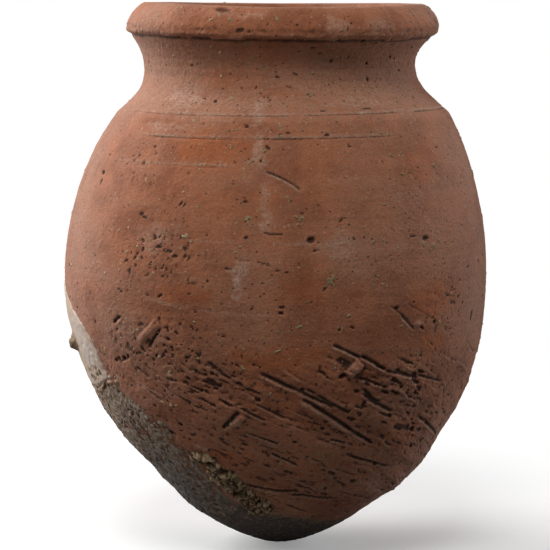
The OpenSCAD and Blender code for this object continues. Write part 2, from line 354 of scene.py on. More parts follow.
def body_marks():
    """The single marks on the neck, shoulder and belly."""
    holes = (
        (12.3, 251.0, 2.2, 1.0, 0.7, 0), (-38.4, 241.7, 1.3, 1.0, 0.6, 0), (37.9, 243.2, 1.4, 1.3, 0.8, 0),
        (59.1, 239.0, 1.2, 1.1, 0.7, 0), (37.8, 235.6, 1.6, 2.4, 0.3, 0), (6.2, 238.6, 3.2, 0.8, 0.5, -25),
        (68.8, 241.5, 4.0, 0.9, 0.4, 60), (-26, 226.0, 1.9, 1.5, 0.6, 0), (-31, 227.0, 1.4, 1.0, 0.4, 0),
        (14.0, 211.2, 2.6, 1.4, 0.7, 0), (-11.8, 215.1, 1.7, 1.4, 0.8, 0), (21, 206.0, 2.2, 0.9, 0.4, -10),
        (-5.8, 199.8, 1.2, 1.2, 0.8, 0), (14, 221.8, 3.4, 0.8, 0.4, 0), (31, 222.4, 4.0, 0.8, 0.4, 0),
        (-62.7, 190.4, 3.6, 2.0, 0.8, -20), (-61.7, 186.4, 1.8, 2.8, 0.4, 0), (-42, 204.5, 1.6, 1.1, 0.5, 0),
        (-27.4, 179.4, 3.0, 0.9, 0.8, 55), (-26.2, 178.8, 2.6, 0.8, 0.6, 55),
        (-38.2, 172.2, 3.8, 1.1, 0.8, -12),
        (8.9, 163.8, 3.8, 2.8, 1.5, 10), (9.9, 158.8, 2.2, 0.9, 0.7, 10), (38.5, 163.4, 5.4, 0.8, 0.5, -8),
        (20.5, 163.7, 2.0, 0.8, 0.5, -8), (1.6, 132.8, 3.2, 1.1, 0.8, 0), (1.4, 130.2, 2.2, 1.5, 1.0, -10),
        (-30.9, 136.3, 3.0, 1.2, 0.8, 25), (61.9, 199.6, 2.2, 0.8, 0.5, 70), (55.9, 203.0, 2.0, 1.0, 0.5, 0),
        (32.9, 130.3, 2.6, 1.5, 0.9, 0), (46.2, 121.5, 1.9, 1.7, 0.9, 0), (-12.5, 150.5, 2.2, 1.1, 0.6, -15),
        (-17.5, 144.5, 1.4, 1.0, 0.6, 0), (0.5, 150.0, 2.0, 0.8, 0.5, 0), (2.8, 149.0, 2.2, 0.8, 0.5, 0),
        (-8, 165.0, 1.8, 1.2, 0.6, 0), (65.5, 121.0, 5.5, 1.5, 0.9, 75), (6.5, 176.0, 1.7, 0.8, 0.5, 0),
        (-49.5, 102.6, 2.2, 2.0, 1.4, 0), (-47.0, 103.6, 2.4, 1.8, 1.6, 20),
        (-44.8, 105.0, 2.0, 2.0, 1.5, 20),
        (-50.8, 101.6, 2.2, 1.4, 1.2, 0), (-29.4, 116.0, 2.8, 1.2, 0.8, -15),
        (20, 122.4, 3.0, 1.0, 0.7, -30),
        (16.5, 121.5, 1.6, 1.2, 0.8, 0), (-57, 119.5, 1.0, 2.2, 0.5, 0), (-58, 133.0, 1.0, 1.0, 0.4, 0),
    )
    for turn, z, wide, high, depth, tilt in holes:
        pit(turn, z, wide, high, depth, tilt)
    # the long pale scratch with a dark edge, and the hair cracks below it
    stroke(0.8, 191.2, 22, 27, 1.1, 0.45, lip=0.25, bend=-1.2, light=0.6, dirt_and_shade=0.5)
    stroke(-1.2, 166.9, 11, 6, 0.8, 0.4, bend=0.8, dirt_and_shade=0.8)
    stroke(-8.0, 154.5, 6, 3, 0.8, 0.25, dirt_and_shade=0.4)
    stroke(-3.0, 152.8, 8, 16, 0.8, 0.3, bend=-0.6, dirt_and_shade=0.5)
    scratch(-18, 162.8, 30, 2, 0.6, 0.2)
    scratch(10, 162.2, 40, -1, 0.6, 0.2)
    scratch(-29.5, 133.8, 30, 10, 0.8, 0.35, bend=1.5)
    scratch(-11, 130.4, 44, 3, 0.6, 0.22, bend=1.0)
    scratch(-35.5, 158.6, 10, 35, 0.8, 0.4)
    scratch(-40.5, 89.6, 8, 38, 0.9, 0.6, bend=1.0)
    # scratches on the right of the belly, and the pinched bit of clay among them
    stroke(34.0, 127.5, 15, 36, 0.9, 0.4, lip=0.15, dirt_and_shade=0.6)
    stroke(36.5, 122.8, 12, 40, 1.2, 0.6, lip=0.3, light=0.4, dirt_and_shade=0.7)
    stroke(42.0, 126.5, 26, 28, 0.7, 0.25, dirt_and_shade=0.4)
    pit(41.5, 119.6, 4.0, 1.3, 0.9, -35, 0.8)
    blob(pale, 40.0, 121.6, 6, 3.4, 0.35, 41)
    blob(height, 40.2, 121.4, 4, 3, 0.5)
    # the raised flap with a dark gap under it, painted as shade and dirt, and the short gouge to its left
    stroke(-35.4, 118.4, 19, -40, 4.0, -0.8, square=4)
    stroke(-33.8, 115.6, 14, -48, 1.3, 1.2, dirt_and_shade=1.0)
    stroke(-46.6, 122.6, 7, -34, 1.6, 0.9, dirt_and_shade=0.9)
    stroke(-45.8, 121.2, 6, -34, 1.2, -0.4, light=0.8)
    stroke(-47.2, 102.4, 9, -22, 1.4, 0.5, dirt_and_shade=0.7)


def gritty_patches():
    """Areas where the smoothed skin is gone and the coarse clay shows, and where the knife tore it."""
    for turn, z, wide, high, amount, seed in (
            (-30, 158, 60, 34, 0.9, 51), (-22, 104, 64, 36, 1.0, 52), (-40, 116, 40, 36, 0.6, 53),
            (52, 128, 30, 36, 0.5, 55), (-2, 228, 60, 12, 0.25, 56), (-44, 196, 30, 30, 0.35, 50),
            (150, 150, 90, 60, 0.7, 57), (-140, 170, 80, 50, 0.6, 58), (110, 120, 70, 40, 0.6, 59),
            (-120, 70, 80, 40, 0.7, 60), (170, 80, 90, 40, 0.8, 61)):
        blob(grit, turn, z, wide, high, amount, seed)
    for turn, z, wide, high, amount, seed in (
            (36, 90, 56, 34, 1.0, 62), (-18, 92, 44, 26, 0.9, 63), (14, 76, 60, 26, 0.4, 64),
            (20, 100, 34, 12, 0.9, 65), (46, 66, 60, 30, 0.7, 66), (10, 44, 70, 34, 0.5, 67),
            (-14, 60, 30, 22, 0.5, 68), (100, 80, 80, 50, 0.7, 69), (-150, 80, 90, 50, 0.7, 70),
            (160, 60, 90, 40, 0.6, 71)):
        blob(torn, turn, z, wide, high, amount, seed)
    grit[:] = np.clip(np.maximum(grit, 0.35 * scraped), 0, 1) * OUTSIDE
    torn[:] = np.clip(np.maximum(torn, 0.12 * scraped), 0, 1) * OUTSIDE
    holes = ramp(rough(2.0, 73, 2), 0.42, 0.75)
    height[:] += grit * (0.20 * rough((3.0, 3.0, 2.4), 72, 3) - 0.55 * holes)
    # the holes in the coarse clay are painted dark: dirt and painted shade
    dark[:] = np.maximum(dark, 0.75 * grit * holes)
    hollows = ramp(dragged(5.0, 1.7, 74), 0.34, 0.62)
    ridges = ramp(dragged(9.0, 1.6, 75), 0.30, 0.7)
    height[:] += torn * (0.45 * ridges - 0.95 * hollows + 0.30 * rough(2.4, 76, 3))
    # the torn hollows are painted dark: dirt and painted shade
    dark[:] = np.maximum(dark, 0.9 * torn * hollows)
    lines = dragged(24, 1.3, 77)
    height[:] += scraped * (0.10 * lines + 0.16 * dragged(30, 3.4, 78, 1))


def chaff_pits():
    """The small holes all over: burnt-out straw, lost grains and popped lime."""
    for _ in range(2200):
        turn, z = rng.uniform(-180, 180), rng.uniform(16, 268)
        size = 0.6 + rng.gamma(1.5, 0.22)
        at, _, _ = window(turn, z, 0.8)
        long, part, chance = rng.uniform(1.0, 2.4), rng.random(), rng.random()
        tilt = rng.normal(-24, 16) if z < 110 else rng.normal(0, 22)
        if at[0].size == 0 or at[1].size == 0 or chance > 0.16 + 0.8 * float(grit[at].mean()):
            continue
        pit(turn, z, size * long, size, 0.2 + 0.35 * size * part, tilt, 0.2 + 0.6 * part)
    for _ in range(700):
        turn, z, size = rng.uniform(-180, 180), rng.uniform(24, 268), rng.uniform(0.6, 1.3)
        blob(pale, turn, z, size, size, rng.uniform(0.2, 0.8))


def scraping():
    """The knife work on the lower body: broad flats, then drags with burrs, then the deep cuts."""
    for _ in range(110):
        turn, z = rng.uniform(-180, 180), rng.uniform(24, 104)
        stroke(turn, z, rng.uniform(34, 70), rng.normal(27, 6), rng.uniform(8, 16),
               rng.uniform(0.2, 0.6), bend=rng.normal(0, 1.5), dirt_and_shade=0, square=4)
    for _ in range(260):
        turn, z = rng.uniform(-180, 180), rng.uniform(20, 110)
        width, deep = rng.uniform(0.8, 1.8), rng.uniform(0.10, 0.35)
        stroke(turn, z, rng.uniform(6, 26), rng.normal(28, 6), width, deep,
               lip=deep * rng.uniform(0.2, 0.9), bend=rng.normal(0, 0.8),
               light=rng.uniform(0, 0.25), dirt_and_shade=rng.uniform(0.0, 0.35), ragged=0.6)
    cuts = (
        (5.0, 92.5, 44, 28, 2.0, 0.8, 0.4, 0.3), (13.5, 87.0, 28, 33, 1.3, 0.8, 0.4, 0.3),
        (14.2, 79.4, 34, 36, 2.4, 1.6, 0.9, 0.7), (24.6, 68.6, 24, 34, 1.8, 1.2, 0.5, 0.4),
        (18.6, 111.0, 17, 27, 1.5, 1.0, 0.5, 0.5), (26.5, 104.6, 18, 31, 1.6, 1.1, 0.5, 0.3),
        (36.0, 97.6, 24, 15, 1.5, 1.0, 0.3, 0.2), (47.0, 93.6, 20, 16, 1.2, 0.7, 0.3, 0.1),
        (27.0, 94.4, 20, 22, 1.4, 0.9, 0.4, 0.3), (30.0, 83.0, 20, 30, 1.8, 0.9, 0.4, 0.2),
        (27.0, 87.0, 14, 26, 1.3, 0.7, 0.3, 0.2), (19.8, 64.6, 13, 18, 1.1, 0.6, 0.5, 0.6),
        (0.8, 56.0, 16, 33, 1.2, 0.6, 0.5, 0.6), (-5.8, 68.0, 18, 24, 1.2, 0.5, 0.4, 0.4),
        (-7.8, 80.4, 15, 30, 1.2, 0.5, 0.3, 0.3), (-2.5, 82.0, 17, 31, 1.1, 0.5, 0.3, 0.3),
        (-6.0, 39.0, 30, 14, 1.4, 0.7, 0.6, 0.4), (12.0, 34.0, 30, 14, 1.2, 0.6, 0.5, 0.4),
        (58.0, 66.0, 40, 28, 1.8, 0.9, 0.4, 0.2), (33.0, 52.0, 34, 24, 1.6, 0.7, 0.4, 0.2),
    )
    for turn, z, length, slope, width, depth, lip, light in cuts:
        stroke(turn, z, length, slope, width, depth, lip=lip, light=light, dirt_and_shade=1.0, ragged=0.35)
    for i in range(9):
        stroke(95 + 22 * i, 60 + 13 * (i % 4), 40, 28 - 4 * (i % 3), 2.0, 1.0, lip=0.5, light=0.3,
               dirt_and_shade=0.8, ragged=0.5)
    # the flake turned up at the end of a cut, and the slit with a light inner face
    stroke(20.6, 102.4, 10, -48, 4.4, -1.4, square=4, ragged=0.5)
    blob(pale, 20.4, 102.8, 6, 7, 0.3, 79)
    pit(17.6, 99.0, 4.0, 2.2, 1.6, 20, 1.0)
    pit(17.8, 105.6, 7.5, 4.5, 0.8, -25, 0.35)
    stroke(-14.6, 77.0, 15, -48, 2.0, 1.8, dirt_and_shade=1.0)
    stroke(-12.6, 76.0, 12, -48, 3.0, -0.7, square=4)
    blob(pale, -12.6, 76.5, 5, 7, 0.4, 80)
    scratch(-26.8, 61.0, 9, 22, 1.0, 0.8, bend=1.2)
    for turn, z, size in ((-32.0, 72.5, 1.8), (-37.0, 67.5, 2.0), (-6.0, 88.0, 2.2), (6.5, 93.0, 1.6),
                          (46.5, 68.0, 2.4), (50.0, 58.0, 2.0), (36.0, 50.0, 2.2), (28.0, 42.0, 2.4),
                          (13.0, 72.0, 1.6), (4.5, 66.0, 1.6), (22.0, 91.0, 2.0), (40.5, 97.0, 2.2)):
        pit(turn, z, size * 1.4, size, 1.1, -20, 1.0)


def colours():
    """Where the clay is dusty, orange, bloomed or stained, and the painted shade on the neck under the rim
    roll.
    """
    veil[:] += 0.36 + 0.30 * rough(34, 81, 3) + 0.25 * neck_zone - 0.08 * scraped
    veil[:] += 0.12 * noise((50, 50, 6), 82)
    for turn, z, wide, high, amount, seed in (
            (20, 240, 60, 26, 0.35, 83), (50, 230, 40, 30, 0.30, 84), (-40, 232, 36, 20, 0.20, 85),
            (-10, 224, 40, 10, 0.25, 86), (18, 156, 34, 34, 0.35, 87), (20, 212, 70, 20, 0.18, 88),
            (-8, 195, 12, 40, 0.20, 89), (-72, 180, 30, 60, 0.35, 90), (72, 175, 24, 70, 0.22, 91),
            (38, 84, 44, 30, 0.30, 92)):
        blob(veil, turn, z, wide, high, amount, seed)
    for turn, z, wide, high, amount, seed in (
            (-22, 205, 46, 18, 0.55, 93), (-12, 180, 40, 20, 0.35, 94), (44, 196, 44, 26, 0.40, 95),
            (46, 134, 34, 24, 0.60, 96), (46, 112, 26, 12, 0.7, 107), (-24, 138, 40, 12, 0.45, 97),
            (0, 108, 52, 14, 0.50, 98), (10, 140, 60, 14, 0.30, 99), (-18, 56, 30, 14, 0.6, 100),
            (-28, 236, 26, 14, 0.45, 101), (-52, 216, 24, 20, 0.25, 102), (-34, 80, 30, 14, 0.4, 108),
            (150, 190, 80, 40, 0.4, 103), (-130, 150, 90, 40, 0.4, 104), (100, 120, 60, 30, 0.4, 105)):
        blob(burnt, turn, z, wide, high, amount, seed)
        blob(veil, turn, z, wide, high, -0.6 * amount, seed)
    for turn, z, wide, high, amount, seed in (
            (-8.5, 222, 6, 20, 0.35, 111), (-7.2, 206, 5, 18, 0.40, 112), (-5.5, 199, 5, 10, 0.3, 113),
            (-3.8, 184, 5, 16, 0.35, 114), (-3.0, 172, 6, 12, 0.40, 115), (-9.2, 150, 10, 12, 0.50, 116),
            (-9.8, 141, 7, 12, 0.35, 117), (-40, 226, 26, 14, 0.30, 118), (-42, 214, 30, 5, 0.35, 119),
            (17, 160, 16, 16, 0.25, 120), (29, 225, 30, 8, 0.22, 121), (-34, 164, 26, 14, 0.25, 122)):
        blob(pale, turn, z, wide, high, amount, seed)
    edge = np.interp(TURN, (-180, -100, -58, -26, -5, 43, 90, 180, 260), (22, 24, 27, 28, 23, 16, 15, 20, 23))
    edge = edge[None, :] + 2.0 * noise(12, 131) + 1.2 * rough(3, 132, 2)
    soot[:] += ramp(Z, edge + 2, edge - 2) * OUTSIDE
    blob(bluish, -55, 30, 60, 26, 0.7, 133)
    band = ramp(np.abs(Z - edge - 0.5), 3.5, 1.0) * ramp(TURN, -14, -6) * ramp(TURN, 40, 26)
    green[:] += band * (0.6 + 0.6 * rough(4, 134, 2)) * OUTSIDE
    # painted shade on the neck just under the rim roll, with some dirt
    dark[:] += 0.22 * neck_zone * ramp(Z, 244, 253) * (0.7 + 0.5 * noise(12, 135))


throwing()
rim()
shoulder_scores()
body_marks()
gritty_patches()
chaff_pits()
scraping()
colours()


def blurred(field, reach):
    """The field averaged over about reach rows and columns each way, round the jar and along it."""
    for axis, mode in ((1, "wrap"), (0, "edge")):
        for _ in range(2):
            pad = [(0, 0), (0, 0)]
            pad[axis] = (reach + 1, reach)
            total = np.cumsum(np.pad(field, pad, mode=mode).astype(np.float64), axis=axis)
            n = field.shape[axis]
            low = np.take(total, range(n), axis=axis)
            high = np.take(total, range(2 * reach + 1, 2 * reach + 1 + n), axis=axis)
            field = ((high - low) / (2 * reach + 1)).astype(np.float32)
    return field


# Darker where the wall lies below its surroundings: dirt and painted shade in the hollows; worn marks where
# it stands above them
relief = height - blurred(height, 3)
dark += np.clip(-relief * 3.5 - 0.10, 0, 0.7) * OUTSIDE
worn = np.clip(relief * 3.5 - 0.08, 0, 0.8) * OUTSIDE


# From the smooth section to the real wall

LEAN_X = ((0, 0.5), (6, 0.6), (14, 0.2), (20, 0.4), (27, 2.2), (34, 3.2), (44, 2.8), (52, 1.6),
          (64, 0.3), (95, -0.4), (115, -1.6), (135, -2.2), (160, -1.6), (185, -0.6), (205, 0.7),
          (218, 2.0), (230, 1.0), (240, -0.2), (247, -0.5), (254, 0.9), (262, 2.2), (270, 2.2))


def lean():
    """How far each height of the jar has shifted sideways."""
    z, x = np.array(LEAN_X, float).T
    fine = np.linspace(0, JAR_HEIGHT, 541)
    soft = np.convolve(np.pad(np.interp(fine, z, x), 12, mode="edge"), np.ones(25) / 25, "valid")
    return np.interp(ROW_Z, fine, soft)[:, None]


def real_wall():
    """The wall's points with every mark, the lean of the body and the warp of the rim."""
    turned = np.radians(TURN)[None, :]
    r = ROW_R[:, None] + NORMAL_R[:, None] * height
    z = ROW_Z[:, None] + NORMAL_Z[:, None] * height
    ends = ramp(ROW_R, 0.5, 9.0)[:, None]
    r = ROW_R[:, None] + (r - ROW_R[:, None]) * ends
    warp = ramp(ROW_Z, 225, 262)[:, None]
    z = z + warp * (0.9 * np.cos(turned + 0.8) - 0.5 * np.cos(2 * turned - 0.4))
    points = around(r, z)
    points[..., 0] += lean()
    points[..., 1] += 0.8 * np.sin(ROW_Z / 45.0)[:, None]
    return points


def normals_of(points):
    """Outward normals of the grid, from its neighbours round the jar and along the section."""
    sideways = np.roll(points, -1, 1) - np.roll(points, 1, 1)
    upwards = np.gradient(points, axis=0)
    n = np.cross(sideways, upwards)
    n /= np.maximum(np.linalg.norm(n, axis=2, keepdims=True), 1e-9)
    n[0] = (0, 0, -1)
    n[-1] = (0, 0, 1)
    return n


WALL = real_wall()
WALL[0] = WALL[0].mean(0)
WALL[-1] = WALL[-1].mean(0)
NORMALS = normals_of(WALL)


# Meshes

def new_object(name, points, loops, sizes, normals, uv, colours_of):
    """A mesh object from arrays, in metres, with smooth custom normals, a UV map and point colours."""
    mesh = bpy.data.meshes.new(name)
    mesh.vertices.add(len(points))
    mesh.vertices.foreach_set("co", (points * MM).astype(np.float32).ravel())
    mesh.loops.add(len(loops))
    mesh.loops.foreach_set("vertex_index", loops.astype(np.int32))
    starts = np.concatenate([[0], np.cumsum(sizes)[:-1]]).astype(np.int32)
    mesh.polygons.add(len(sizes))
    mesh.polygons.foreach_set("loop_start", starts)
    mesh.polygons.foreach_set("use_smooth", np.ones(len(sizes), bool))
    mesh.update(calc_edges=True)
    layer = mesh.uv_layers.new(name="OFBake")
    layer.uv.foreach_set("vector", uv.astype(np.float32).ravel())
    for key, values in colours_of.items():
        data = mesh.attributes.new(key, "FLOAT_COLOR", "POINT")
        data.data.foreach_set("color", values.astype(np.float32).ravel())
    mesh.validate()
    if normals is not None:
        mesh.normals_split_custom_set_from_vertices(normals.astype(np.float32))
    obj = bpy.data.objects.new(name, mesh)
    bpy.context.scene.collection.objects.link(obj)
    return obj


def grid_faces(first, last, offset_to, folds, low, high):
    """Quads between rows first and last, which start at vertex offset_to, and their UVs: the strip is
    folded into stacked lengths between low and high so that its map isn't stretched."""
    rows, columns = np.meshgrid(np.arange(last - first), np.arange(COLUMNS), indexing="ij")
    after = (columns + 1) % COLUMNS
    here = offset_to + rows * COLUMNS
    loops = np.stack([here + columns, here + after, here + COLUMNS + after, here + COLUMNS + columns], -1)
    each = math.ceil(COLUMNS / folds)
    fold, local = columns // each, columns % each
    share = (high - low) / folds
    up = (ARC[first:last + 1] - ARC[first]) / (ARC[last] - ARC[first])
    bottom = low + fold * share + 0.003
    v0 = bottom + up[rows] * (share - 0.006)
    v1 = bottom + up[rows + 1] * (share - 0.006)
    u0, u1 = 0.003 + 0.994 * local / each, 0.003 + 0.994 * (local + 1) / each
    uv = np.stack([np.stack([u0, v0], -1), np.stack([u1, v0], -1),
                   np.stack([u1, v1], -1), np.stack([u0, v1], -1)], -2)
    return loops.reshape(-1, 4), uv.reshape(-1, 4, 2)


def joint_faces(outer, inner, low):
    """The ring of quads across the wall's thickness between an outer and an inner row of vertices."""
    columns = np.arange(COLUMNS)
    after = (columns + 1) % COLUMNS
    loops = np.stack([outer + columns, inner + columns, inner + after, outer + after], -1)
    u0, u1 = columns / COLUMNS, (columns + 1) / COLUMNS
    v0, v1 = np.full(COLUMNS, low), np.full(COLUMNS, low + 0.008)
    uv = np.stack([np.stack([u0, v0], -1), np.stack([u0, v1], -1),
                   np.stack([u1, v1], -1), np.stack([u1, v0], -1)], -2)
    return loops, uv


ONES = np.ones_like(veil)
# Point colours: dust, salt bloom with painted highlight on burrs, and orange clay; stain, dirt with painted
# shade, and worn tops; lime and sand films
WEAR_AND_HIGHLIGHT = np.stack([veil, pale, burnt, ONES], -1)
DIRT_AND_SHADE = np.stack([soot, dark, worn, ONES], -1)
FILM = np.stack([bluish, green, np.zeros_like(veil), ONES], -1)


def section(index, name):
    """One section of the jar: its outside, its inside and the joints that close it, as one closed mesh."""
    outer_first = 0 if index == 0 else JOINT_ROWS[index - 1]
    outer_last = JOINT_ROWS[index]
    last_joint = len(JOINT_ROWS) - 1
    inner_first = JOINT_ROWS[last_joint - index - 1] if index < len(JOINTS) else outer_last
    inner_last = JOINT_ROWS[last_joint - index] if index > 0 else ROWS - 1
    strips = [(outer_first, outer_last)]
    if index < len(JOINTS):
        strips.append((inner_first, inner_last))
    else:
        strips = [(outer_first, inner_last)]
    points, normals, wear_and_highlight, dirt_and_shade, film, loops, uvs, starts = [], [], [], [], [], [], [], []
    count = 0
    lengths = [ARC[b] - ARC[a] for a, b in strips]
    around_jar = 2 * math.pi * float(ROW_R[outer_first:outer_last + 1].mean())
    folds = max(1, round(math.sqrt(around_jar / sum(lengths))))
    low = 0.0
    for (first, last), length in zip(strips, lengths):
        high = low + 0.97 * length / sum(lengths)
        take = slice(first, last + 1)
        faces, uv = grid_faces(first, last, count, folds, low, high)
        loops.append(faces)
        uvs.append(uv)
        starts.append((count, count + (last - first) * COLUMNS))
        for bucket, source in ((points, WALL), (normals, NORMALS), (wear_and_highlight, WEAR_AND_HIGHLIGHT), (dirt_and_shade, DIRT_AND_SHADE), (film, FILM)):
            bucket.append(source[take].reshape(-1, source.shape[-1]))
        count += (last - first + 1) * COLUMNS
        low = high
    if len(strips) == 2:
        faces, uv = joint_faces(starts[0][1], starts[1][0], 0.975)
        loops.append(faces)
        uvs.append(uv)
        if index > 0:
            faces, uv = joint_faces(starts[1][1], starts[0][0], 0.988)
            loops.append(faces)
            uvs.append(uv)
    else:
        faces, uv = joint_faces(starts[0][1], starts[0][0], 0.975)
        loops.append(faces)
        uvs.append(uv)
    loops, uvs = np.concatenate(loops), np.concatenate(uvs)
    return new_object(name, np.concatenate(points), loops.ravel(), np.full(len(loops), 4),
                      np.concatenate(normals), uvs.reshape(-1, 2),
                      {"wear_and_highlight": np.concatenate(wear_and_highlight), "dirt_and_shade": np.concatenate(dirt_and_shade),
                       "film": np.concatenate(film)})


# Deposits: closed skins on the wall, whose edges lie where they dip into it

def edge_distance(outline):
    """Distance in millimetres inside an outline of (turn, height) points, negative outside it."""
    corners = np.array(outline, float)
    lift = outer_arc(corners[:, 1])
    arc, radius = ARC[:, None], np.maximum(ROW_R[:, None], 6) * math.pi / 180
    middle = (corners[:, 0].min() + corners[:, 0].max()) / 2
    turns = middle + (TURN - middle + 180) % 360 - 180
    away = [(t - turns)[None, :] * radius for t in corners[:, 0]]
    up = [h - arc for h in lift]
    nearest = np.full((ROWS, COLUMNS), 1e9)
    inside = np.zeros((ROWS, COLUMNS), bool)
    for i in range(len(corners)):
        ax, ay, bx, by = away[i - 1], up[i - 1], away[i], up[i]
        ex, ey = bx - ax, by - ay
        t = np.clip(-(ax * ex + ay * ey) / np.maximum(ex * ex + ey * ey, 1e-6), 0, 1)
        nearest = np.minimum(nearest, np.hypot(ax + t * ex, ay + t * ey))
        crosses = (ay > 0) != (by > 0)
        inside ^= crosses & (ax - ay * ex / np.where(crosses, ey, 1) > 0)
    return np.where(inside, nearest, -nearest) * OUTSIDE - 50 * (1 - OUTSIDE)


def skin(name, thickness, tones):
    """A closed skin that stands out from the wall by thickness, kept where that isn't well below it."""
    solid = thickness > -0.5
    solid &= OUTSIDE & (np.arange(ROWS) > 1)[:, None]
    face = solid[:-1] & solid[1:]
    face = face & np.roll(face, -1, 1)
    rows, columns = np.nonzero(face)
    after = (columns + 1) % COLUMNS
    corners = np.stack([rows * COLUMNS + columns, rows * COLUMNS + after,
                        (rows + 1) * COLUMNS + after, (rows + 1) * COLUMNS + columns], -1)
    used, flat = np.unique(corners, return_inverse=True)
    outer = flat.reshape(corners.shape)
    inner = outer[:, ::-1] + len(used)
    top = WALL + NORMALS * thickness[..., None]
    shine = normals_of(top).reshape(-1, 3)[used]
    points = np.concatenate([top.reshape(-1, 3)[used],
                             (WALL - NORMALS * 1.2).reshape(-1, 3)[used]])
    rim_edges = []
    for side, (dr, dc) in enumerate(((-1, 0), (0, 1), (1, 0), (0, -1))):
        near_r, near_c = rows + dr, (columns + dc) % COLUMNS
        open_side = ~face[np.clip(near_r, 0, ROWS - 2), near_c] | (near_r < 0) | (near_r > ROWS - 2)
        rim_edges.append(np.stack([outer[open_side, side], outer[open_side, (side + 1) % 4]], -1))
    rim_edges = np.concatenate(rim_edges)
    a, b = rim_edges[:, 0], rim_edges[:, 1]
    sides = np.stack([b, a, a + len(used), b + len(used)], -1)
    loops = np.concatenate([outer, inner, sides])
    uv = skin_uv(rows, columns, len(sides))
    colours_of = {key: np.tile(value.reshape(-1, 4)[used], (2, 1)) for key, value in tones.items()}
    return new_object(name, points, loops.ravel(), np.full(len(loops), 4),
                      np.concatenate([shine, -shine]), uv.reshape(-1, 2), colours_of)


def skin_uv(rows, columns, sides):
    """The skin's UVs: its outer face fills most of the square, its hidden faces the top."""
    lap = (TURN - TURN[columns.min()] if columns.max() - columns.min() < COLUMNS - 2 else TURN) % 360
    start = np.sort(lap[np.unique(columns)])
    gap = np.argmax(np.diff(np.concatenate([start, [start[0] + 360]])))
    origin = start[(gap + 1) % len(start)]
    turn_of = (lap - origin) % 360
    u = np.stack([turn_of[columns], turn_of[(columns + 1) % COLUMNS]], -1)
    u[:, 1] = np.where(u[:, 1] < u[:, 0], u[:, 0] + 0.4, u[:, 1])
    u = 0.01 + 0.98 * (u - u.min()) / (u.max() - u.min())
    v = np.stack([ARC[rows], ARC[rows + 1]], -1)
    v = (v - v.min()) / (v.max() - v.min())
    outer = np.stack([np.stack([u[:, i], 0.01 + 0.80 * v[:, j]], -1)
                      for i, j in ((0, 0), (1, 0), (1, 1), (0, 1))], 1)
    inner = np.stack([np.stack([u[:, i], 0.83 + 0.12 * v[:, j]], -1)
                      for i, j in ((0, 1), (1, 1), (1, 0), (0, 0))], 1)
    cell = np.linspace(0.01, 0.99, sides + 1)
    edges = np.stack([np.stack([cell[1:], np.full(sides, 0.97)], -1),
                      np.stack([cell[:-1], np.full(sides, 0.97)], -1),
                      np.stack([cell[:-1], np.full(sides, 0.99)], -1),
                      np.stack([cell[1:], np.full(sides, 0.99)], -1)], 1)
    return np.concatenate([outer, inner, edges])


PATCH_EDGE = ((-92, 134), (-84, 131), (-79, 128), (-73.6, 124), (-69, 120), (-64.3, 115.5), (-62, 111),
              (-60.5, 107), (-59.3, 102), (-58.6, 97), (-57.2, 93.5), (-54.5, 91.2), (-53.2, 93.4),
              (-58.5, 90.0), (-68, 84), (-84, 82), (-130, 86), (-150, 96), (-146, 112), (-124, 126))
SKIRT_EDGE = ((-68.6, 84.5), (-58, 90.6), (-53.2, 94.3), (-52.6, 86), (-50.4, 83), (-47.0, 81), (-45, 77),
              (-42.5, 74.4), (-38, 71.7), (-36.4, 66), (-35, 61.6), (-33.4, 58), (-32, 50), (-31.4, 42.7),
              (-27, 31), (-24, 26), (-34, 19), (-80, 18), (-120, 18), (-134, 30), (-130, 60), (-122, 84),
              (-96, 86))
CRUST_EDGE = ((-35.5, 58.0), (-33, 59.6), (-29, 58.6), (-26, 57.2), (-23.5, 55.6), (-21.5, 51.5),
              (-18.8, 49.8), (-17, 46), (-14.7, 38.7), (-11, 35.6), (-8, 33), (-3.4, 28.6), (-4, 25),
              (-12, 23.6), (-19, 24.5), (-23, 30.5), (-27, 36.5), (-31, 45), (-33, 52))
LUMP_TURN, LUMP_Z = -80.0, 103.5


def tone(*fields):
    """Up to three fields as one point colour."""
    fields = list(fields) + [np.zeros_like(height)] * (3 - len(fields)) + [ONES]
    return np.stack(np.broadcast_arrays(*fields), -1)


def lump_shape():
    """How far the lump stands out from the wall: steep below, drawn out above."""
    away = ((TURN - LUMP_TURN + 180) % 360 - 180)[None, :] * np.maximum(ROW_R[:, None], 6) * math.pi / 180
    up = ARC[:, None] - outer_arc(LUMP_Z)
    d = np.hypot(away / 8.5, up / np.where(up > 0, 7.5, 5.0)) + 0.10 * rough(4, 141, 2)
    return (4.4 * ramp(d, 1.15, 0.15) - 0.7) + 0.25 * rough(1.8, 142, 2) - (1 - OUTSIDE) * 9


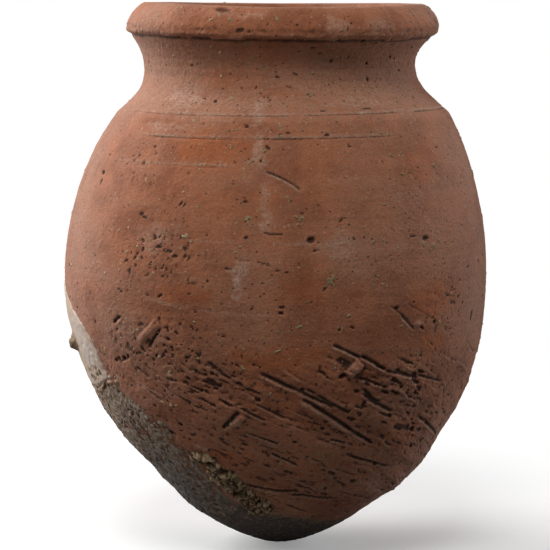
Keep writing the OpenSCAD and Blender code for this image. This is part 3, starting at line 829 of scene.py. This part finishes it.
def deposits():
    """The four deposits as (node, slot, piece)."""
    lump = lump_shape()
    inside = edge_distance(PATCH_EDGE) + 0.5 * rough(3.0, 143, 3)
    folds = 0.22 * dragged(40, 7, 144, 2, 60)
    patch = 1.15 * ramp(inside, -0.5, 1.0) - 0.55 + folds + 0.10 * rough(2.0, 145, 3)
    sandy_foot = ramp(Z, 98, 92) * ramp(TURN, -76, -68)[None, :]
    holes = ramp(rough(2.0, 146, 2), 0.15, 0.5) * sandy_foot
    beige = np.clip(0.25 + 0.5 * ramp(TURN, -68, -80)[None, :] + 0.25 * rough(9, 147, 3)
                    + 0.5 * sandy_foot + 0.5 * ramp(lump, -3.0, 0.0), 0, 1)
    white = skin("lime_patch_skin", patch - 0.5 * holes, {"tone": tone(beige, holes)})

    inside = edge_distance(SKIRT_EDGE) + 1.6 * rough(4.0, 148, 3) + 0.9 * noise(1.5, 149)
    grains = rough(1.6, 150, 2)
    holes = ramp(rough(2.2, 151, 2) + 0.3 * noise(14, 152), 0.42, 0.62)
    fold = 0.5 * np.exp(-((edge_distance(PATCH_EDGE) + 1.4) / 1.0) ** 2)
    skirt = 0.95 * ramp(inside, -0.8, 2.2) - 0.5 + 0.16 * grains + fold - 0.6 * holes
    blue = np.clip(ramp(Z, 62, 46) * ramp(TURN, -40, -54)[None, :] + 0.3 * noise(9, 153), 0, 1)
    bare = np.clip(ramp(rough(5, 154, 3), 0.35, 0.7) * ramp(inside, 12, 3), 0, 1)
    # The shade point colour paints the skirt darker towards the bottom as painted shade, and paler along its
    # raised fold as a painted highlight
    grey = skin("lime_skirt_skin", skirt - 0.25 * bare, {"tone": tone(blue, holes, bare),
                "shade": tone(np.clip(ramp(Z, 78, 26) + 0.2 * noise(9, 155), 0, 1), ramp(fold, 0.1, 0.4))})

    specks_at = ramp(rough(1.6, 156), 0.5, 0.8)
    brown = skin("lime_lump_skin", lump, {"tone": tone(ramp(lump, 3.0, 0.2), specks_at)})

    inside = edge_distance(CRUST_EDGE) + 1.0 * rough(3.0, 157, 3)
    grains = np.abs(rough(2.3, 158, 2))
    gaps = ramp(rough(1.7, 159, 2), 0.10, 0.42)
    crust = 2.5 * ramp(inside, -0.6, 2.6) - 0.6 + 1.0 * (grains - 0.35) - 1.5 * gaps + 0.5 * noise(7, 160)
    greenish = ramp(TURN, -24, -16)[None, :] * ramp(Z, 36, 42) * ramp(inside, 8, 2)
    sand = skin("sand_crust_skin", crust, {"tone": tone(grains, gaps, greenish)})
    return (("lime_patch", "white_lime", white), ("lime_skirt", "grey_lime", grey),
            ("lime_lump", "brown_lime", brown), ("sand_crust", "sandy_crust", sand))


# Materials

def material(name, roughness, specular=0.25, sheen=0.0):
    """A material with an empty Principled shader, and its node tree."""
    mat = bpy.data.materials.new(name)
    mat.use_nodes = True
    tree = mat.node_tree
    shader = tree.nodes["Principled BSDF"]
    shader.inputs["Roughness"].default_value = roughness
    shader.inputs["Specular IOR Level"].default_value = specular
    shader.inputs["Sheen Weight"].default_value = sheen
    shader.inputs["Sheen Roughness"].default_value = 0.6
    return mat, tree, shader


def link(tree, source, target):
    tree.links.new(source, target)


def texture_noise(tree, vector, scale, detail=3.0, stretch=(1, 1, 1), rough_part=0.55):
    """Noise of the given scale, in features per metre, that may be stretched along an axis."""
    if stretch != (1, 1, 1):
        mapping = tree.nodes.new("ShaderNodeMapping")
        mapping.inputs["Scale"].default_value = stretch
        link(tree, vector, mapping.inputs["Vector"])
        vector = mapping.outputs["Vector"]
    node = tree.nodes.new("ShaderNodeTexNoise")
    node.inputs["Scale"].default_value = scale
    node.inputs["Detail"].default_value = detail
    node.inputs["Roughness"].default_value = rough_part
    link(tree, vector, node.inputs["Vector"])
    return node.outputs["Fac"]


def grains(tree, vector, scale):
    """Cells of the given scale: their distance from the middle, and a random value for each."""
    node = tree.nodes.new("ShaderNodeTexVoronoi")
    node.inputs["Scale"].default_value = scale
    link(tree, vector, node.inputs["Vector"])
    split = tree.nodes.new("ShaderNodeSeparateColor")
    link(tree, node.outputs["Color"], split.inputs["Color"])
    return node.outputs["Distance"], split.outputs["Red"]


def between(tree, value, low, high, to_low=0.0, to_high=1.0):
    """value from low to high, carried smoothly to the range to_low to to_high."""
    node = tree.nodes.new("ShaderNodeMapRange")
    node.interpolation_type = "SMOOTHSTEP"
    for key, number in (("From Min", low), ("From Max", high), ("To Min", to_low), ("To Max", to_high)):
        node.inputs[key].default_value = number
    link(tree, value, node.inputs["Value"])
    return node.outputs["Result"]


def combine(tree, operation, a, b):
    """One math operation on two values, each a socket or a number."""
    node = tree.nodes.new("ShaderNodeMath")
    node.operation = operation
    node.use_clamp = operation in ("MULTIPLY", "ADD")
    for socket, value in zip(node.inputs, (a, b)):
        if isinstance(value, (int, float)):
            socket.default_value = value
        else:
            link(tree, value, socket)
    return node.outputs["Value"]


def mixed(tree, share, a, b, blend="MIX"):
    """Colour a turned into colour b by share. Each is a socket or a colour."""
    node = tree.nodes.new("ShaderNodeMix")
    node.data_type = "RGBA"
    node.blend_type = blend
    for key, value in (("Factor_Float", share), ("A_Color", a), ("B_Color", b)):
        socket = next(s for s in node.inputs if s.identifier == key)
        if isinstance(value, (int, float)):
            socket.default_value = value
        elif isinstance(value, tuple):
            socket.default_value = (*value, 1.0)
        else:
            link(tree, value, socket)
    return next(s for s in node.outputs if s.identifier == "Result_Color")


def srgb(r, g, b):
    """A colour written as 0 to 255, as a screen shows it, in the renderer's own scale."""
    return tuple(c / 255 / 12.92 if c <= 10.3 else ((c / 255 + 0.055) / 1.055) ** 2.4 for c in (r, g, b))


def point_colour(tree, name):
    """The three values of a point colour."""
    node = tree.nodes.new("ShaderNodeAttribute")
    node.attribute_name = name
    split = tree.nodes.new("ShaderNodeSeparateColor")
    link(tree, node.outputs["Color"], split.inputs["Color"])
    return split.outputs["Red"], split.outputs["Green"], split.outputs["Blue"]


def bump(tree, shader, layers, distance):
    """Relief finer than the mesh: the sum of layers, each a value and its share."""
    total = 0.0
    for value, share in layers:
        part = tree.nodes.new("ShaderNodeMath")
        part.operation = "MULTIPLY_ADD"
        link(tree, value, part.inputs[0])
        part.inputs[1].default_value = share
        if isinstance(total, float):
            part.inputs[2].default_value = total
        else:
            link(tree, total, part.inputs[2])
        total = part.outputs["Value"]
    node = tree.nodes.new("ShaderNodeBump")
    node.inputs["Strength"].default_value = 1.0
    node.inputs["Distance"].default_value = distance * MM
    link(tree, total, node.inputs["Height"])
    link(tree, node.outputs["Normal"], shader.inputs["Normal"])


CLAY_DEEP = srgb(146, 84, 53)
CLAY = srgb(171, 104, 69)
CLAY_BURNT = srgb(171, 95, 52)
CLAY_DUST = srgb(165, 118, 93)
SALT_AND_HIGHLIGHT = srgb(196, 168, 148)
PIT_DIRT_AND_SHADE = srgb(40, 25, 18)
STAIN = srgb(70, 60, 54)
STAIN_LIGHT = srgb(112, 102, 90)
BLUISH = srgb(122, 116, 114)
GREENISH = srgb(140, 124, 90)
WHITE_LIME = srgb(222, 211, 206)
GREY_LIME = srgb(176, 156, 140)
BEIGE_LIME = srgb(196, 168, 144)
BROWN_LIME = srgb(140, 116, 92)
SAND = srgb(188, 160, 128)
SAND_DARK = srgb(116, 92, 68)


def shaded(tree, colour, value, low, high, shader):
    """Links a colour, made darker or lighter by a fine value, to the shader."""
    shade = tree.nodes.new("ShaderNodeVectorMath")
    shade.operation = "SCALE"
    link(tree, colour, shade.inputs[0])
    link(tree, between(tree, value, 0.28, 0.72, low, high), shade.inputs["Scale"])
    link(tree, shade.outputs["Vector"], shader.inputs["Base Color"])


def specks(tree, place, scale, share, size=0.34):
    """Round specks: a share of the cells of the given scale, each a soft dot."""
    spot, which = grains(tree, place, scale)
    return combine(tree, "MULTIPLY", between(tree, which, 1 - share, 1 - share * 0.8),
                   between(tree, spot, size, size * 0.5))


def clay(name):
    """Fired clay: fine mottling between orange clay and grey-pink dust, with the marks that the wall's
    point colours carry, broken up by grain."""
    mat, tree, shader = material(name, 0.88, 0.2, 0.12)
    place = tree.nodes.new("ShaderNodeTexCoord").outputs["Object"]
    dust_at, pale_at, burnt_at = point_colour(tree, "wear_and_highlight")
    soot_at, dark_at, worn_at = point_colour(tree, "dirt_and_shade")
    blue_at, green_at, _ = point_colour(tree, "film")
    fine = texture_noise(tree, place, 620, 4)
    speckle = texture_noise(tree, place, 1500, 2)
    streaks = texture_noise(tree, place, 210, 4, (1, 1, 6))
    broad = texture_noise(tree, place, 60, 4)
    mottle = combine(tree, "ADD", combine(tree, "MULTIPLY", fine, 0.6),
                     combine(tree, "MULTIPLY", streaks, 0.4))
    mottle = between(tree, mottle, 0.36, 0.62)
    colour = mixed(tree, between(tree, broad, 0.36, 0.62), CLAY_DEEP, CLAY)
    colour = mixed(tree, between(tree, burnt_at, 0.1, 0.9), colour, CLAY_BURNT)
    dusty = combine(tree, "MULTIPLY", combine(tree, "ADD", combine(tree, "MULTIPLY", mottle, 0.55), 0.25),
                    between(tree, dust_at, -0.1, 1.0, 0.0, 1.6))
    colour = mixed(tree, dusty, colour, CLAY_DUST)
    # salt bloom, pale scratches and the painted highlight on burrs
    salt_and_highlight = combine(tree, "MULTIPLY", pale_at, between(tree, mottle, 0.1, 0.9, 0.35, 1.0))
    colour = mixed(tree, salt_and_highlight, colour, SALT_AND_HIGHLIGHT)
    colour = mixed(tree, combine(tree, "MULTIPLY", worn_at, 0.45), colour, CLAY_DUST)
    colour = mixed(tree, combine(tree, "MULTIPLY", blue_at, between(tree, fine, 0.3, 0.6)), colour, BLUISH)
    stain = mixed(tree, between(tree, fine, 0.42, 0.68), STAIN, STAIN_LIGHT)
    colour = mixed(tree, combine(tree, "MULTIPLY", soot_at, 0.92), colour, stain)
    sandy_at = combine(tree, "MULTIPLY", green_at, between(tree, fine, 0.36, 0.6))
    colour = mixed(tree, sandy_at, colour, GREENISH)
    # dirt and painted shade in pits, cuts, hollows and under the rim roll
    colour = mixed(tree, between(tree, dark_at, 0.1, 1.0, 0.0, 0.85), colour, PIT_DIRT_AND_SHADE)
    black = specks(tree, place, 560, 0.09)
    colour = mixed(tree, combine(tree, "MULTIPLY", black, 0.6), colour, PIT_DIRT_AND_SHADE)
    light = specks(tree, place, 480, 0.10, 0.3)
    colour = mixed(tree, combine(tree, "MULTIPLY", light, 0.45), colour, SALT_AND_HIGHLIGHT)
    shaded(tree, colour, speckle, 0.82, 1.16, shader)
    bump(tree, shader, ((fine, 1.0), (speckle, 0.35), (streaks, 0.4), (black, -1.2)), 0.35)
    return mat


def white_lime(name):
    """Smooth white lime, beige where it is thin, with dark specks."""
    mat, tree, shader = material(name, 0.8, 0.25)
    place = tree.nodes.new("ShaderNodeTexCoord").outputs["Object"]
    beige_at, hole_at, _ = point_colour(tree, "tone")
    fine = texture_noise(tree, place, 520, 4)
    colour = mixed(tree, combine(tree, "MULTIPLY", beige_at, between(tree, fine, 0.3, 0.6, 0.5, 1.0)),
                   WHITE_LIME, BEIGE_LIME)
    colour = mixed(tree, combine(tree, "MULTIPLY", between(tree, fine, 0.55, 0.72), 0.5), colour, GREY_LIME)
    colour = mixed(tree, combine(tree, "MULTIPLY", specks(tree, place, 600, 0.08), 0.6), colour, BROWN_LIME)
    colour = mixed(tree, hole_at, colour, SAND_DARK)
    shaded(tree, colour, fine, 0.9, 1.06, shader)
    bump(tree, shader, ((fine, 1.0),), 0.25)
    return mat


def grey_lime(name):
    """Grey-beige lime with soil in it: bluish low down, with pits and bare spots of clay, with painted shade
    darker towards the bottom and a painted highlight along its fold.
    """
    mat, tree, shader = material(name, 0.86, 0.2)
    place = tree.nodes.new("ShaderNodeTexCoord").outputs["Object"]
    blue_at, hole_at, bare_at = point_colour(tree, "tone")
    painted_shade_at, fold_highlight_at, _ = point_colour(tree, "shade")
    fine = texture_noise(tree, place, 560, 4)
    coarse = texture_noise(tree, place, 210, 4)
    colour = mixed(tree, between(tree, fine, 0.36, 0.64), BROWN_LIME, GREY_LIME)
    # painted shade: darker towards the bottom
    colour = mixed(tree, combine(tree, "MULTIPLY", painted_shade_at, between(tree, coarse, 0.35, 0.6, 0.3, 1.0)),
                   colour, STAIN_LIGHT)
    colour = mixed(tree, combine(tree, "MULTIPLY", blue_at, 0.6), colour, BLUISH)
    # painted highlight along the raised fold
    colour = mixed(tree, combine(tree, "MULTIPLY", fold_highlight_at, 0.6), colour, BEIGE_LIME)
    colour = mixed(tree, combine(tree, "MULTIPLY", bare_at, 0.75), colour, CLAY_DEEP)
    colour = mixed(tree, combine(tree, "MULTIPLY", hole_at, 0.9), colour, PIT_DIRT_AND_SHADE)
    colour = mixed(tree, combine(tree, "MULTIPLY", specks(tree, place, 520, 0.12), 0.7), colour, STAIN)
    light = specks(tree, place, 430, 0.10, 0.3)
    colour = mixed(tree, combine(tree, "MULTIPLY", light, 0.6), colour, BEIGE_LIME)
    shaded(tree, colour, fine, 0.8, 1.12, shader)
    bump(tree, shader, ((fine, 1.0), (coarse, 0.6)), 0.4)
    return mat


def brown_lime(name):
    """The lump: brown lime, beige where it thins out towards the wall, with dark specks."""
    mat, tree, shader = material(name, 0.86, 0.2)
    place = tree.nodes.new("ShaderNodeTexCoord").outputs["Object"]
    foot_at, hole_at, _ = point_colour(tree, "tone")
    fine = texture_noise(tree, place, 520, 4)
    colour = mixed(tree, between(tree, fine, 0.36, 0.64), SAND_DARK, BROWN_LIME)
    colour = mixed(tree, combine(tree, "MULTIPLY", foot_at, 0.55), colour, BEIGE_LIME)
    colour = mixed(tree, combine(tree, "MULTIPLY", hole_at, 0.7), colour, STAIN)
    shaded(tree, colour, fine, 0.85, 1.1, shader)
    bump(tree, shader, ((fine, 1.0),), 0.4)
    return mat


def sandy(name):
    """Coarse sand held by lime: beige grains, brown between them and black in the gaps."""
    mat, tree, shader = material(name, 0.9, 0.15)
    place = tree.nodes.new("ShaderNodeTexCoord").outputs["Object"]
    grain_at, gap_at, green_at = point_colour(tree, "tone")
    fine = texture_noise(tree, place, 700, 3)
    colour = mixed(tree, between(tree, combine(tree, "ADD", grain_at, fine), 0.6, 1.1), SAND_DARK, SAND)
    colour = mixed(tree, combine(tree, "MULTIPLY", green_at, 0.7), colour, GREENISH)
    black = specks(tree, place, 420, 0.25, 0.4)
    colour = mixed(tree, combine(tree, "MULTIPLY", black, 0.7), colour, PIT_DIRT_AND_SHADE)
    colour = mixed(tree, combine(tree, "MULTIPLY", gap_at, 0.9), colour, PIT_DIRT_AND_SHADE)
    shaded(tree, colour, fine, 0.75, 1.15, shader)
    bump(tree, shader, ((fine, 1.0), (grain_at, 1.0)), 0.5)
    return mat


jar = [section(i, name) for i, name in enumerate(SECTIONS)]
for piece, node, slot_name in zip(jar, SECTIONS, SLOTS):
    piece.name = node + "_clay"
    piece.data.materials.append(clay(slot_name))
    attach(piece, "root")
    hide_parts(node)
RECIPES = {"white_lime": white_lime, "grey_lime": grey_lime, "brown_lime": brown_lime, "sandy_crust": sandy}
for node, slot_name, piece in deposits():
    piece.data.materials.append(RECIPES[slot_name](slot_name))
    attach(piece, "root")
    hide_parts(node)


# Camera, light and floor

FOCAL_PX = 2700.0
FRAME_PX = 550.0
CAMERA_DISTANCE = 1350.0
CAMERA_TILT = 7.0
AIM = (-2.25, 0.0, 135.1)
ROOM_GLOW = 0.05
FLOOR_SIDE = 8.0
FLOOR_GREY, FLOOR_GLOW = 0.80, 0.25
FLOOR_BOUNCE = 0.2
SHADOW_END, WHITE_START = 0.35, 0.8
LAMP_AIM = (0, 0, 0.14)
LAMPS = (("left", -118, 24, 1.5, 1.1, 32), ("top", -12, 56, 1.5, 0.7, 12.5), ("right", 115, 12, 1.5, 0.9, 10))


def aimed(obj, target):
    """Turns an object so that its -Z axis points at a target, in metres."""
    way = target - np.array(obj.location)
    flat = math.hypot(way[0], way[1])
    obj.rotation_euler = (math.atan2(flat, -way[2]), 0, math.atan2(way[1], way[0]) - math.pi / 2)


def make_camera():
    data = bpy.data.cameras.new("camera")
    data.sensor_width = 36.0
    data.lens = data.sensor_width * FOCAL_PX / FRAME_PX
    camera = bpy.data.objects.new("camera", data)
    tilt = math.radians(CAMERA_TILT)
    target = np.array(AIM) * MM
    camera.location = target + CAMERA_DISTANCE * MM * np.array([0, -math.cos(tilt), math.sin(tilt)])
    aimed(camera, target)
    bpy.context.scene.collection.objects.link(camera)
    bpy.context.scene.camera = camera


def lamp(name, turn, rise, distance, size, power):
    """A square softbox at an angle round the jar and above the floor, pointing at the jar."""
    data = bpy.data.lights.new(name, "AREA")
    data.shape = "SQUARE"
    data.size = size
    data.energy = power
    obj = bpy.data.objects.new(name, data)
    t, e = math.radians(turn), math.radians(rise)
    target = np.array(LAMP_AIM)
    obj.location = target + distance * np.array(
        [math.cos(e) * math.sin(t), -math.cos(e) * math.cos(t), math.sin(e)])
    aimed(obj, target)
    bpy.context.scene.collection.objects.link(obj)


def make_world():
    """A dim grey room that the camera sees as white."""
    world = bpy.data.worlds.new("studio")
    world.use_nodes = True
    tree = world.node_tree
    background = tree.nodes["Background"]
    rays = tree.nodes.new("ShaderNodeLightPath")
    link(tree, between(tree, rays.outputs["Is Camera Ray"], 0.0, 1.0, ROOM_GLOW, 1.0),
         background.inputs["Strength"])
    background.inputs["Color"].default_value = (1, 1, 1, 1)
    bpy.context.scene.world = world


def make_floor():
    """A wide floor, white to the camera except for the jar's shadow and mid grey to the light."""
    side = FLOOR_SIDE
    mesh = bpy.data.meshes.new("floor")
    mesh.from_pydata([(-side, -side, 0), (side, -side, 0), (side, side, 0), (-side, side, 0)], [],
                     [(0, 1, 2, 3)])
    floor = bpy.data.objects.new("floor", mesh)
    bpy.context.scene.collection.objects.link(floor)
    mat = bpy.data.materials.new("floor")
    mat.use_nodes = True
    tree = mat.node_tree
    tree.nodes.clear()
    out = tree.nodes.new("ShaderNodeOutputMaterial")

    def surface(kind, grey, strength=None):
        node = tree.nodes.new(kind)
        node.inputs["Color"].default_value = (grey, grey, grey, 1)
        if strength is not None:
            node.inputs["Strength"].default_value = strength
        return node.outputs[0]

    def blend_of(kind, inputs, share=None):
        node = tree.nodes.new(kind)
        shaders = [s for s in node.inputs if s.type == "SHADER"]
        for socket, value in zip(shaders, inputs):
            link(tree, value, socket)
        if share is not None:
            link(tree, share, node.inputs["Fac"])
        return node.outputs["Shader"]

    place = tree.nodes.new("ShaderNodeTexCoord").outputs["Object"]
    away = tree.nodes.new("ShaderNodeVectorMath")
    away.operation = "LENGTH"
    link(tree, place, away.inputs[0])
    near = blend_of("ShaderNodeAddShader", [surface("ShaderNodeBsdfDiffuse", FLOOR_GREY),
                                            surface("ShaderNodeEmission", 1.0, FLOOR_GLOW)])
    white = surface("ShaderNodeEmission", 1.0, 1.0)
    fade = between(tree, away.outputs["Value"], SHADOW_END, WHITE_START)
    seen = blend_of("ShaderNodeMixShader", [near, white], fade)
    rays = tree.nodes.new("ShaderNodeLightPath")
    link(tree, blend_of("ShaderNodeMixShader", [surface("ShaderNodeBsdfDiffuse", FLOOR_BOUNCE), seen],
                        rays.outputs["Is Camera Ray"]), out.inputs["Surface"])
    mesh.materials.append(mat)


make_camera()
for place_of_lamp in LAMPS:
    lamp(*place_of_lamp)
make_world()
make_floor()
bpy.context.scene.view_settings.view_transform = "Standard"
